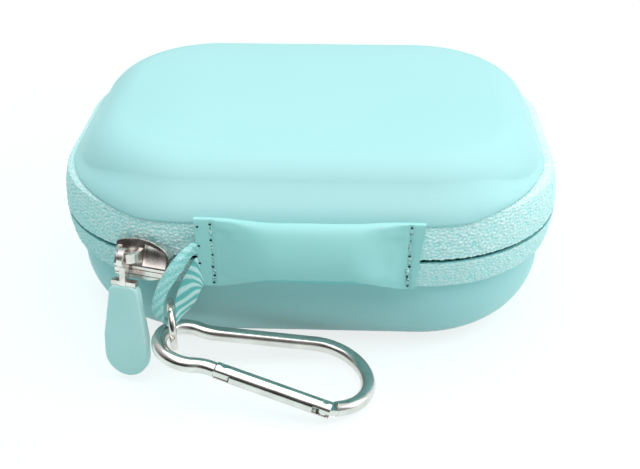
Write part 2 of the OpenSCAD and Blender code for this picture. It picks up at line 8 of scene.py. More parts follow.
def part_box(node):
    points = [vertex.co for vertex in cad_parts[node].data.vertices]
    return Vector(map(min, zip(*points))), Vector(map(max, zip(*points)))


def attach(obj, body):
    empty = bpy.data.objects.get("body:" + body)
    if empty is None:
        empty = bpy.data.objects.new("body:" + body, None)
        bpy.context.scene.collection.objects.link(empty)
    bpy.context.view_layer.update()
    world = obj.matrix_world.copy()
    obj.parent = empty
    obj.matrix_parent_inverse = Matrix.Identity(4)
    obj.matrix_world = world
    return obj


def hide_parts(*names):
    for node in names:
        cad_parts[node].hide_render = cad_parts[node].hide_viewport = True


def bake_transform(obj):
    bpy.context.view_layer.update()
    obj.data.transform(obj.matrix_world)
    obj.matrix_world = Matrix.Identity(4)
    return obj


bl_info = {
    "name": "Earbud Case Dresser",
    "version": (1, 0, 0),
    "blender": (4, 5, 0),
    "location": "View3D > Sidebar > Earbud Case",
    "description": "Dresses the packed zip case with its strap, ribbon, woven tapes and finishes",
    "category": "Object",
}

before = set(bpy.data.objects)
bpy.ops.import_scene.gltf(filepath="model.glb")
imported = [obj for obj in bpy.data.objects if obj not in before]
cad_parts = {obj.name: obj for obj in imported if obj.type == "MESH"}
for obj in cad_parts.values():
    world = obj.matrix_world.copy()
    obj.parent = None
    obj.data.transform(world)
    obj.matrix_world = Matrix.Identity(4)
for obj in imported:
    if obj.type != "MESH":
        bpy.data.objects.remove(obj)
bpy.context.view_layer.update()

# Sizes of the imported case, in millimetres
MM = 0.001
HALF_W = 52.5
HALF_D = 41.0
CORNER_R = 29.5
FLAT_X = HALF_W - CORNER_R
FLAT_Y = HALF_D - CORNER_R
QUARTER = CORNER_R * math.pi / 2
ROUND = 4 * (FLAT_X + FLAT_Y) + 4 * QUARTER
SLIT = 25.4
SLIT_GAP = 0.6
BELT_TOP = 34.4
BELT_BOT = 18.5
BELT_MID = (BELT_TOP + BELT_BOT) / 2
BULGE_R = 27.0
PULL_PIVOT = (-34.342, -43.783, 26.9)

# Sizes of the woven tapes, in millimetres: their thickness, the yarns' fluff into the slit, the height of their
# soft turn to the sewn edge, and how far each one turns in and runs on under the strap
TAPE_T = 0.9
FLUFF = 0.15
SHOULDER = 1.1
UPPER_IN = 3.4
LOWER_IN = 2.6
UNDER_STRAP = 4
# Degrees of the left front corner that the upper tape's loose end takes
LOOSE_ARC = 31
# Spacing of the woven bands' mesh along the belt and up it
WEAVE_ALONG, WEAVE_UP = 0.2, 0.135

# The lid's lip: its inset at the front, on the right and on the left, and the tape's shoulder that it rests on
LIP_FRONT, LIP_RIGHT, LIP_LEFT = 0.6, 3.15, 2.5
SHOULDER_Z, SHOULDER_INSET, SHOULDER_DEEP = 33.42, 0.92, 2.48
LIP_COLUMNS = 420
LIP_FALL = 24

# The strap's two ends, where its roll starts and over what length it fills, and its stitch rows
STRAP_HALF = 23.2
STRAP_LEFT = -20.3
ROLL_FROM = (-18.2, 20.6)
ROLL_OVER = (13, 12)
STITCH_X = (-17.4, 20.3)
# Thread and needle hole, drawn a little larger than real ones so that they show
THREAD_R, HOLE_R = 0.33, 0.27

# The camera as fitted to the photo's outlines: its place and lens in mm, and the degrees that it looks down,
# to the right and leans
CAMERA_AT = (9.92, -209.16, 132.11)
CAMERA_LENS = 57.99
CAMERA_DOWN, CAMERA_RIGHT, CAMERA_LEAN = 30.93, -2.28, -0.18


# ---- Small helpers ----


def hex_rgb(code):
    """An sRGB hex colour as the linear colour that a shader takes."""
    parts = [int(code[i:i + 2], 16) / 255 for i in (1, 3, 5)]
    return [p / 12.92 if p <= 0.04045 else ((p + 0.055) / 1.055) ** 2.4 for p in parts] + [1.0]


def add_node(tree, kind, inputs=None, stops=(), **settings):
    """Adds a node, sets it and fills its sockets with values or links; stops are a ramp's places and colours."""
    node = tree.nodes.new(kind)
    for key, value in settings.items():
        setattr(node, key, value)
    for key, value in (inputs or {}).items():
        if isinstance(value, bpy.types.NodeSocket):
            tree.links.new(value, node.inputs[key])
        else:
            node.inputs[key].default_value = value
    for n, (place, code) in enumerate(stops):
        element = node.color_ramp.elements[n] if n < 2 else node.color_ramp.elements.new(place)
        element.position = place
        element.color = hex_rgb(code)
    return node


def start_material(name, **sockets):
    """A material with one Principled shader and the constants set on its own sockets."""
    made = bpy.data.materials.new(name)
    made.use_nodes = True
    tree = made.node_tree
    tree.nodes.clear()
    shader = add_node(tree, "ShaderNodeBsdfPrincipled")
    for key, value in sockets.items():
        shader.inputs[key.replace("_", " ")].default_value = value
    add_node(tree, "ShaderNodeOutputMaterial", {"Surface": shader.outputs["BSDF"]})
    return made, tree, shader


def deselect():
    """Leaves nothing selected."""
    bpy.ops.object.select_all(action="DESELECT")


def only(piece):
    """Makes a piece the only one selected, and the active one."""
    deselect()
    piece.select_set(True)
    bpy.context.view_layer.objects.active = piece


def edit(piece, *steps):
    """Runs edit-mode steps on the whole of a piece."""
    only(piece)
    bpy.ops.object.mode_set(mode="EDIT")
    bpy.ops.mesh.select_all(action="SELECT")
    for step in steps:
        step()
    bpy.ops.object.mode_set(mode="OBJECT")


def settle(piece):
    """Puts a piece's place, turn and scale into its mesh."""
    only(piece)
    bpy.ops.object.transform_apply(location=True, rotation=True, scale=True)


def apply_modifier(piece, kind, **settings):
    """Gives a piece a modifier and applies it."""
    only(piece)
    mod = piece.modifiers.new(kind.title(), kind)
    for key, value in settings.items():
        setattr(mod, key, value)
    bpy.ops.object.modifier_apply(modifier=mod.name)


def mapped_grid(name, across, along, place, size):
    """A grid primitive laid over a surface: place gives a point in mm for each (u, v); size is the UV map's."""
    deselect()
    bpy.ops.mesh.primitive_grid_add(x_subdivisions=across, y_subdivisions=along, size=1)
    piece = bpy.context.object
    piece.name = name
    for v in piece.data.vertices:
        v.co = Vector(place(v.co.x + 0.5, v.co.y + 0.5)) * MM
    for loop in piece.data.uv_layers[0].data:
        loop.uv = (loop.uv[0] * size[0], loop.uv[1] * size[1])
    return piece


def join(name, pieces):
    """Makes one piece of several."""
    deselect()
    for p in pieces:
        p.select_set(True)
    bpy.context.view_layer.objects.active = pieces[0]
    if len(pieces) > 1:
        bpy.ops.object.join()
    pieces[0].name = name
    return pieces[0]


def smooth(piece, degrees):
    """Shades a piece smooth, but for edges sharper than an angle."""
    only(piece)
    bpy.ops.object.shade_smooth_by_angle(angle=math.radians(degrees))


def close_tube(piece):
    """Closes a grid that is wrapped round into a tube: its seam is merged and its ends are filled."""
    edit(piece,
         lambda: bpy.ops.mesh.remove_doubles(threshold=1e-6),
         lambda: bpy.ops.mesh.select_all(action="DESELECT"),
         lambda: bpy.ops.mesh.select_non_manifold(extend=False),
         lambda: bpy.ops.mesh.fill_holes(sides=0),
         lambda: bpy.ops.mesh.select_all(action="SELECT"),
         lambda: bpy.ops.mesh.normals_make_consistent(inside=False))


def dress(piece, finish, body=None):
    """Gives a piece its finish and slot, and a body to ride on if one is given."""
    piece.data.materials.clear()
    piece.data.materials.append(finish)
    if body:
        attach(piece, body)


def finish_nodes(finish, *names):
    """Gives CAD nodes their finish."""
    for name in names:
        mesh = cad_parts[name].data
        mesh.materials.clear()
        mesh.materials.append(finish)


def sag(z):
    """Inset of the belt's bulging face at a height."""
    return BULGE_R - math.sqrt(BULGE_R ** 2 - (z - BELT_MID) ** 2)


def round_belt(s):
    """Point and outward direction on the belt's outline, s mm round from the middle of the front."""
    s = (s + FLAT_X) % ROUND
    # The front, right, back and left: the length of each straight run, and the centre of the corner before it
    sides = [(2 * FLAT_X, -FLAT_X, -FLAT_Y), (2 * FLAT_Y, FLAT_X, -FLAT_Y),
             (2 * FLAT_X, FLAT_X, FLAT_Y), (2 * FLAT_Y, -FLAT_X, FLAT_Y)]
    for n, (run, cx, cy) in enumerate(sides):
        if s <= run + QUARTER:
            break
        s -= run + QUARTER
    a = math.radians(90 * n - 90)
    cx, cy = cx - math.sin(a) * min(s, run), cy + math.cos(a) * min(s, run)
    a += max(0.0, s - run) / CORNER_R
    return cx + CORNER_R * math.cos(a), cy + CORNER_R * math.sin(a), math.cos(a), math.sin(a)


def between(a, b, t):
    """Part of the way from a to b."""
    return a + (b - a) * t


def ease(t):
    """A step from 0 to 1 with soft ends."""
    t = min(1.0, max(0.0, t))
    return t * t * (3 - 2 * t)


# ---- Finishes ----

NOISE = "ShaderNodeTexNoise"
VORONOI = "ShaderNodeTexVoronoi"
WAVE = "ShaderNodeTexWave"


def patterned(name, textures, stops, relief=None, stretch=(1, 1, 1), **sockets):
    """A material with one or two textures, each given as its kind, inputs and settings.

    The first one gives the colour through a ramp, and the last one the relief, of a strength and a depth in mm."""
    made, tree, shader = start_material(name, **sockets)
    place = add_node(tree, "ShaderNodeTexCoord").outputs["Object"]
    if stretch != (1, 1, 1):
        place = add_node(tree, "ShaderNodeMapping", {"Vector": place, "Scale": stretch}).outputs["Vector"]
    read = []
    for kind, inputs, *settings in textures:
        texture = add_node(tree, kind, {"Vector": place, **inputs}, **dict(*settings))
        read.append(texture.outputs["Distance" if kind == VORONOI else "Fac"])
    tone = add_node(tree, "ShaderNodeValToRGB", {"Fac": read[0]}, stops)
    tree.links.new(tone.outputs["Color"], shader.inputs["Base Color"])
    if relief:
        strength, depth = relief
        bump = add_node(tree, "ShaderNodeBump", {"Height": read[-1], "Strength": strength, "Distance": depth * MM})
        tree.links.new(bump.outputs["Normal"], shader.inputs["Normal"])
    return made


def moulded_pu():
    """Soft-touch PU skin, heat moulded over foam: even and matte, with a pale bloom at a low angle."""
    # The dye drifts slowly over 40 mm. The leather-like grain is really about 0.2 mm, drawn at 0.5 mm to show
    textures = [(NOISE, {"Scale": 1 / (40 * MM), "Detail": 2.0}), (VORONOI, {"Scale": 1 / (0.5 * MM)})]
    return patterned(
        "moulded_pu_skin", textures, [(0.0, "#c9e6e7"), (1.0, "#c1e3e4")], (0.12, 0.05), Roughness=0.5, IOR=1.46,
        Sheen_Weight=0.55, Sheen_Roughness=0.4)


def cut_foam():
    """Cross-linked EVA foam, knife cut at its rims: fine closed cells of about 0.45 mm, fully matte."""
    return patterned(
        "eva_foam_cut", [(VORONOI, {"Scale": 1 / (0.45 * MM)})], [(0.0, "#34393b"), (0.8, "#4c5356")], (0.5, 0.1),
        Roughness=0.9, Specular_IOR_Level=0.3)


def brushed_fleece():
    """Knitted lining with a brushed face: a soft short pile of about 0.6 mm, streaked along one direction."""
    return patterned(
        "brushed_fleece_lining", [(NOISE, {"Scale": 1 / (0.6 * MM), "Detail": 4.0, "Roughness": 0.7})],
        [(0.3, "#4b5a5e"), (0.55, "#66777b"), (0.75, "#82949a")], (0.7, 0.15), stretch=(1.0, 0.35, 1.0),
        Roughness=0.95, Sheen_Weight=0.5, Sheen_Roughness=0.5, Specular_IOR_Level=0.2)


def woven_binding():
    """Polyester binding tape, plain woven in dark grey: matt ribs."""
    # Real threads are about 0.5 mm apart. The ribs are drawn 1 mm apart, so that they show
    ribs = [(WAVE, {"Scale": math.tau / 20 / (1 * MM), "Distortion": 0.6}, {"bands_direction": "Z"})]
    return patterned(
        "woven_polyester_binding", ribs, [(0.1, "#272d2f"), (0.9, "#414a4d")], (0.5, 0.1), Roughness=0.8,
        Sheen_Weight=0.3)


def woven_tape():
    """Textured polyester zip tape: plump yarns that catch the light, with painted shade, a deeper teal, in the
    gaps between them.
    """
    made, tree, cloth = start_material(
        "woven_polyester_tape", Roughness=0.62, Sheen_Weight=0.45, Sheen_Roughness=0.4,
        Sheen_Tint=hex_rgb("#c9f7f5"))
    height = add_node(tree, "ShaderNodeAttribute", attribute_name="yarn").outputs["Fac"]
    uv = add_node(tree, "ShaderNodeTexCoord").outputs["UV"]
    # The UV map is in millimetres: fibres of the yarn are about 0.25 mm
    fibre = add_node(tree, NOISE, {"Vector": uv, "Scale": 1 / 0.25, "Detail": 3.0, "Roughness": 0.6})
    fibre = fibre.outputs["Fac"]
    # The colour follows the yarns' height and deepens to teal where they are low: painted shade in the gaps
    # between them
    depth = add_node(tree, "ShaderNodeMath", {0: height, 1: fibre, 2: 0.12}, operation="MULTIPLY_ADD")
    tone = add_node(tree, "ShaderNodeValToRGB", {"Fac": depth.outputs[0]},
                    [(0.04, "#46bab9"), (0.13, "#a2e6e6"), (0.24, "#ecfefe"), (0.4, "#ffffff")])
    tree.links.new(tone.outputs["Color"], cloth.inputs["Base Color"])
    bump = add_node(tree, "ShaderNodeBump", {"Height": fibre, "Strength": 0.6, "Distance": 0.12 * MM})
    tree.links.new(bump.outputs["Normal"], cloth.inputs["Normal"])
    return made


def nylon_coil():
    """Extruded nylon monofilament, wound and heat set: glossy and slightly milky, its dye drifting over 3 mm."""
    return patterned(
        "nylon_monofilament_coil", [(NOISE, {"Scale": 1 / (3 * MM)})], [(0.3, "#58aaa6"), (0.7, "#76c2be")],
        Roughness=0.32, IOR=1.53, Subsurface_Weight=0.15, Subsurface_Scale=0.5 * MM)


def strap_pu():
    """PU-coated fabric turned over foam: smoother than the shell, with a fine grain of about 0.35 mm."""
    # The dye drifts three times over 50 mm
    textures = [(NOISE, {"Scale": 3 / (50 * MM), "Detail": 2.0}), (VORONOI, {"Scale": 1 / (0.35 * MM)})]
    return patterned(
        "pu_coated_strap", textures, [(0.3, "#b6e3e1"), (0.7, "#bde6e4")], (0.15, 0.05), Roughness=0.42, IOR=1.48,
        Sheen_Weight=0.5, Sheen_Roughness=0.4)


def satin_ribbon():
    """Twill-woven satin ribbon: shiny diagonal ribs, with painted highlights as pale stripes along them over a
    deeper teal.
    """
    made, tree, cloth = start_material(
        "polyester_satin_ribbon", Roughness=0.34, Anisotropic=0.5, Sheen_Weight=0.4, Sheen_Roughness=0.3)
    uv = add_node(tree, "ShaderNodeTexCoord").outputs["UV"]
    # The UV map takes 46 units for the ribbon's 34 mm: ribs 2.2 units, so 1.6 mm, apart lean across it, and the
    # speckles are a third of a unit
    turned = add_node(tree, "ShaderNodeMapping", {"Vector": uv, "Rotation": (0.0, 0.0, math.radians(38))})
    ribs = add_node(tree, WAVE, {
        "Vector": turned.outputs["Vector"], "Scale": math.tau / 20 / 2.2, "Distortion": 1.5, "Detail": 1.0,
        "Detail Scale": 2.0}).outputs["Fac"]
    fine = add_node(tree, NOISE, {"Vector": uv, "Scale": 3.0, "Detail": 3.0}).outputs["Fac"]
    # The ribs' pale stripes are painted highlights, the satin's shine on each rib
    rib_highlight = add_node(tree, "ShaderNodeValToRGB", {"Fac": ribs},
                    [(0.2, "#7ccdc9"), (0.5, "#b5e8e5"), (0.75, "#f6fffe")])
    dull = add_node(tree, "ShaderNodeValToRGB", {"Fac": fine}, [(0.4, "#6fc5c1"), (0.6, "#e2faf9")])
    # The leg folded lengthwise shows its speckled underside, the open leg its ribs with their painted highlights
    along = add_node(tree, "ShaderNodeSeparateXYZ", {"Vector": uv})
    side = add_node(tree, "ShaderNodeMapRange", {
        "Value": along.outputs["X"], "From Min": 16.0, "From Max": 26.0, "To Min": 0.25, "To Max": 1.0})
    mixed = add_node(tree, "ShaderNodeMix", {
        0: side.outputs["Result"], 6: dull.outputs["Color"], 7: rib_highlight.outputs["Color"]}, data_type="RGBA")
    tree.links.new(mixed.outputs[2], cloth.inputs["Base Color"])
    low = add_node(tree, "ShaderNodeBump", {"Height": ribs, "Strength": 0.6, "Distance": 0.2 * MM})
    bump = add_node(tree, "ShaderNodeBump", {
        "Height": fine, "Strength": 0.3, "Distance": 0.05 * MM, "Normal": low.outputs["Normal"]})
    tree.links.new(bump.outputs["Normal"], cloth.inputs["Normal"])
    return made


def sewing_thread():
    """Spun polyester thread, two plies twisted: matte teal grey, with pale patches about 0.3 mm apart painted on
    as highlights of the plies.
    """
    return patterned(
        "spun_polyester_thread", [(NOISE, {"Scale": 1 / (0.3 * MM)})], [(0.42, "#6f9c9b"), (0.58, "#eefbfa")],
        Roughness=0.7, Sheen_Weight=0.4)


def needle_hole():
    """The shadowed pit that a needle leaves in coated fabric, with ragged fibres of about 0.4 mm."""
    return patterned(
        "needle_hole_shadow", [(NOISE, {"Scale": 1 / (0.4 * MM)})], [(0.3, "#10201f"), (0.7, "#2a4c4a")],
        Roughness=0.95, Specular_IOR_Level=0.1)


def tumbled_metal(name, patches, stops, rough, edge, scuffs, detail=4.0, grooves=()):
    """Metal with a range of roughness in patches of a size in mm, an edge rounded by so much, and scuffs.

    Scuffs have a size in mm, a strength and a depth in mm; grooves are heights in mm, bumped in and darkened with
    painted shade."""
    made, tree, metal = start_material(name, Metallic=1.0)
    place = add_node(tree, "ShaderNodeTexCoord").outputs["Object"]
    worn = add_node(tree, NOISE, {"Vector": place, "Scale": 1 / (patches * MM), "Detail": detail}).outputs["Fac"]
    tone = add_node(tree, "ShaderNodeValToRGB", {"Fac": worn}, stops).outputs["Color"]
    patch = add_node(tree, "ShaderNodeMapRange", {
        "Value": worn, "From Min": 0.3, "From Max": 0.7, "To Min": rough[0], "To Max": rough[1]})
    tree.links.new(patch.outputs["Result"], metal.inputs["Roughness"])
    size, strength, depth = scuffs
    bevel = add_node(tree, "ShaderNodeBevel", {"Radius": edge * MM}, samples=6)
    marks = add_node(tree, NOISE, {"Vector": place, "Scale": 1 / (size * MM), "Detail": 2.0})
    bump = add_node(tree, "ShaderNodeBump", {
        "Height": marks.outputs["Fac"], "Strength": strength, "Distance": depth * MM,
        "Normal": bevel.outputs["Normal"]})
    up = add_node(tree, "ShaderNodeSeparateXYZ", {"Vector": place}).outputs["Z"]
    for z in grooves:
        # Cast grooves 0.24 mm wide, bumped in, with the metal's colour darkened in them as painted shade
        line = add_node(tree, "ShaderNodeMath", {0: up, 1: z * MM, 2: 0.12 * MM}, operation="COMPARE").outputs[0]
        dull = add_node(tree, "ShaderNodeMix", {0: line, 6: tone, 7: hex_rgb("#8a827d")}, data_type="RGBA")
        tone = dull.outputs[2]
        bump = add_node(tree, "ShaderNodeBump", {
            "Height": line, "Strength": 0.8, "Distance": 0.12 * MM, "Normal": bump.outputs["Normal"]}, invert=True)
    tree.links.new(tone, metal.inputs["Base Color"])
    tree.links.new(bump.outputs["Normal"], metal.inputs["Normal"])
    return made


def die_cast_nickel(name, grooves=()):
    """Zinc alloy die cast, tumbled and nickel plated: bright and warm, with soft orange peel 0.5 mm across."""
    return tumbled_metal(
        name, 2.5, [(0.3, "#d3cac4"), (0.65, "#efe8e3")], (0.2, 0.34), 0.12, (0.5, 0.16, 0.03), grooves=grooves)


def plated_steel():
    """Steel wire, bent, tumbled and nickel plated: a tighter shine than the casting's."""
    return tumbled_metal(
        "nickel_plated_steel", 2.5, [(0.3, "#d2cbc5"), (0.65, "#e9e4df")], (0.12, 0.26), 0.12, (0.5, 0.16, 0.03))


def polished_aluminium():
    """Aluminium wire, bent and tumble polished: mirror bright, with faint scuffs of 0.35 mm."""
    return tumbled_metal(
        "tumbled_aluminium_wire", 4, [(0.3, "#cfcbc6"), (0.7, "#e4e1dd")], (0.12, 0.24), 0.15, (0.35, 0.08, 0.02),
        detail=3.0)


def moulded_silicone():
    """Compression-moulded silicone: translucent at its edges, matte, with a little lint bloom of 0.4 mm."""
    textures = [(NOISE, {"Scale": 1 / (8 * MM), "Detail": 3.0}), (NOISE, {"Scale": 1 / (0.4 * MM)})]
    return patterned(
        "moulded_silicone", textures, [(0.3, "#daf3f1"), (0.7, "#e4f8f7")], (0.08, 0.05), Roughness=0.5, IOR=1.41,
        Subsurface_Weight=0.35, Subsurface_Scale=1.2 * MM, Subsurface_Radius=(0.6, 1.0, 1.0), Sheen_Weight=0.2,
        Sheen_Roughness=0.5)


def knitted_net(name, pale, deep):
    """Warp-knitted polyester: dull strands, twisted about 0.5 mm a turn."""
    return patterned(
        name, [(NOISE, {"Scale": 1 / (0.5 * MM), "Detail": 2.0})], [(0.3, deep), (0.7, pale)], (0.5, 0.1),
        Roughness=0.8, Sheen_Weight=0.3)


# ---- Settings ----


def length_setting(name, description, default, low, high):
    """A length, given here in millimetres and kept in metres."""
    return bpy.props.FloatProperty(name=name, description=description, default=default * MM, min=low * MM,
                                   max=high * MM, unit="LENGTH", subtype="DISTANCE", precision=5)


class CaseSoftSizes(bpy.types.PropertyGroup):
    """Sizes of the sewn and woven pieces, in metres as Blender keeps them."""

    yarn_pitch: length_setting("Yarn pitch", "Spacing of the zip tape's yarns along the belt", 0.95, 0.5, 2)
    yarn_rise: length_setting("Yarn rise", "How far a yarn stands out of the zip tape", 0.26, 0.02, 0.4)
    strap_bulk: length_setting("Strap bulk", "Thickness of the strap's rolled middle", 5.2, 3, 7)
    stitch_length: length_setting("Stitch length", "Length of the longest stitch on the strap", 3.24, 1.5, 4)
    ribbon_width: length_setting("Ribbon width", "Width of the satin ribbon", 5.8, 4, 7)
    net_pitch: length_setting("Net pitch", "Spacing of the pocket net's strands", 2.0, 1.5, 4)


class CaseStudio(bpy.types.PropertyGroup):
    """Light and paper round the case."""

    key_power: bpy.props.FloatProperty(
        name="Key light", description="Power of the large light above", default=2.75, min=0, unit="POWER")
    fill_power: bpy.props.FloatProperty(
        name="Fill light", description="Power of the light from the right", default=1.1, min=0, unit="POWER")
    paper: bpy.props.FloatVectorProperty(
        name="Paper", description="Colour of the paper under the case", default=hex_rgb("#c8dcdb")[:3],
        min=0, max=1, size=3, subtype="COLOR")


# ---- Shells and belt ----


class CASE_OT_dress_shells(bpy.types.Operator):
    """Give the moulded shells, foam, lining and coil their finishes"""

    bl_idname = "earbud_case.dress_shells"
    bl_label = "Dress the shells"

    def execute(self, context):
        finish_nodes(moulded_pu(), "lid_cover", "base_cover")
        finish_nodes(cut_foam(), "lid_core", "base_core")
        finish_nodes(brushed_fleece(), "lid_lining", "base_lining")
        finish_nodes(woven_binding(), "lid_binding", "base_binding")
        finish_nodes(nylon_coil(), "lid_zip_coil", "base_zip_coil")
        return {"FINISHED"}


def tape_section(low, high, top_in, foot_in):
    """Way up one tape's outer side, as (inset, height, yarn) triples; where yarn is low, the finish gives the deep
    teal of its painted gap shade.

    top_in and foot_in say how far its edges turn in; an edge at the slit doesn't turn."""
    way = []

    def turn_in(edge, depth, sign):
        # A soft quarter turn from the outer face to the sewn edge
        return [(sag(edge) + depth * (1 - math.cos(a)), edge + sign * SHOULDER * math.sin(a), 1.0)
                for a in (math.radians(d) for d in range(6, 91, 6))]

    def slit_edge(edge, sign):
        # From the outer face round to the tape's back. Its low yarn share gives the slit's edge the finish's
        # painted gap shade
        return [(sag(edge) + 0.12, edge + sign * 0.08, 0.3), (sag(edge) + 0.5, edge, 0.0),
                (sag(edge) + TAPE_T, edge + sign * 0.02, 0.0)]

    if foot_in:
        first = low + SHOULDER
        way += [(foot_in, low + 0.4, 0.0)] + turn_in(first, foot_in - sag(first), -1)[::-1]
        low = first
    else:
        way += slit_edge(low, 1)[::-1]
        low += 0.2
    last = high - (SHOULDER if top_in else 0.2)
    rows = int((last - low) / WEAVE_UP)
    way += [(sag(z), z, 1.0) for z in (between(low, last, i / rows) for i in range(rows + 1))]
    if top_in:
        way += turn_in(last, top_in - sag(last), 1) + [(top_in, high - 0.4, 0.0)]
    else:
        way += slit_edge(high, -1)
    return way


def yarn_height(s, h, pitch):
    """Relief of the textured yarns, 0 to 1, s mm round the belt and h mm up its section.

    They lie in wavy rows like bricks, lean to and fro, stray along their rows and differ in plumpness. Real ones
    are about 0.5 mm apart. The default pitch of 0.95 mm makes them show."""
    row = h / (pitch * 0.84) + 0.3 * noise.noise(Vector((s * 0.45, h * 0.5, 8.0)))
    row += 0.22 * math.sin(math.tau * s / (2.3 * pitch) + h)
    line = math.floor(row)
    up = row - line
    lean = (0.55 if line % 2 else -0.55) * (up - 0.5)
    stray = 0.8 * noise.noise(Vector((s * 0.6, line * 3.7, 0.0)))
    column = s / pitch + 0.5 * (line % 2) + lean + stray
    across = abs(2 * (column - math.floor(column)) - 1)
    swell = (1 - across ** 2.2) ** 0.85 * (1 - abs(2 * up - 1) ** 2.4) ** 0.85
    loft = 0.72 + 0.75 * noise.noise(Vector((math.floor(column) * 1.3, line * 2.1, 5.0)))
    return max(0.0, min(1.0, swell * loft))


def woven_band(name, start, end, low, high, top_in, foot_in, pitch, rise, loft=1.0):
    """A strip of woven tape round the belt, with the yarns raised in its mesh."""
    section = tape_section(low, high, top_in, foot_in)
    walked = [0.0]
    for p, q in zip(section, section[1:]):
        walked.append(walked[-1] + math.dist(p[:2], q[:2]))
    length = end - start
    columns = int(length / WEAVE_ALONG)
    rows = len(section) - 1
    heights = {}

    def place(u, v):
        s, k = start + u * length, round(v * rows)
        inset, z, share = section[k]
        x, y, nx, ny = round_belt(s)
        height = loft * share * yarn_height(s, walked[k], pitch)
        heights[(round(u * columns), k)] = height
        before, after = section[max(0, k - 1)], section[min(rows, k + 1)]
        lift = (height - 1) * rise / math.dist(before[:2], after[:2])
        inset -= lift * (after[1] - before[1])
        z += lift * (after[0] - before[0])
        return x - nx * inset, y - ny * inset, z

    piece = mapped_grid(name, columns, rows, place, (length, walked[-1]))
    # The yarns' heights go to the finish, which paints shade into the gaps between them
    layer = piece.data.attributes.new("yarn", "FLOAT", "POINT")
    for i in range(len(piece.data.vertices)):
        layer.data[i].value = heights[(i % (columns + 1), i // (columns + 1))]
    apply_flip(piece)
    for poly in piece.data.polygons:
        poly.use_smooth = True
    return piece


def apply_flip(piece):
    """Turns a piece's faces so that they point away from the case's middle."""
    poly = piece.data.polygons[len(piece.data.polygons) // 2]
    outward = Vector((poly.center.x, poly.center.y, 0.0))
    if poly.normal.dot(outward) < 0:
        edit(piece, lambda: bpy.ops.mesh.flip_normals())


def bend_with_hinge(piece):
    """Puts the place of a piece at the hinge into its mesh; it rides on no body."""
    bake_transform(piece)


class CASE_OT_weave_tapes(bpy.types.Operator):
    """Weave the two zip tapes, the tape's loose end and the fabric hinge"""

    bl_idname = "earbud_case.weave_tapes"
    bl_label = "Weave the zip tapes"

    def execute(self, context):
        sizes = context.scene.case_soft_sizes
        pitch, rise = sizes.yarn_pitch / MM, sizes.yarn_rise / MM
        cloth = woven_tape()
        up, low = SLIT + SLIT_GAP / 2 - FLUFF, SLIT - SLIT_GAP / 2 + FLUFF
        end = STRAP_HALF - UNDER_STRAP
        turn = ROUND - FLAT_X - math.radians(LOOSE_ARC) * CORNER_R
        high = BELT_TOP + 0.1
        upper = woven_band("upper_zip_tape", end, turn, up, high, UPPER_IN, 0, pitch, rise)
        dress(upper, cloth, "lid")
        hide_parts("lid_zip_tape")
        loose = woven_band("upper_tape_end", turn, ROUND - end, up, high, UPPER_IN, 0, pitch, rise)
        dress(loose, cloth)
        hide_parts("lid_tape_end")
        bend_with_hinge(loose)
        lower = woven_band("lower_zip_tape", end, ROUND - end, BELT_BOT, low, 0, LOWER_IN, pitch, rise)
        dress(lower, cloth, "base")
        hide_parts("base_zip_tape")
        # The hinge is a flatter, closer cloth than the tapes, and its low yarns take the finish's painted gap
        # shade all over
        hinge = woven_band("fabric_hinge", ROUND - end, ROUND + end, BELT_BOT, high, UPPER_IN, LOWER_IN,
                           pitch * 0.7, rise, 0.1)
        dress(hinge, cloth)
        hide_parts("spine_tape")
        bend_with_hinge(hinge)
        return {"FINISHED"}


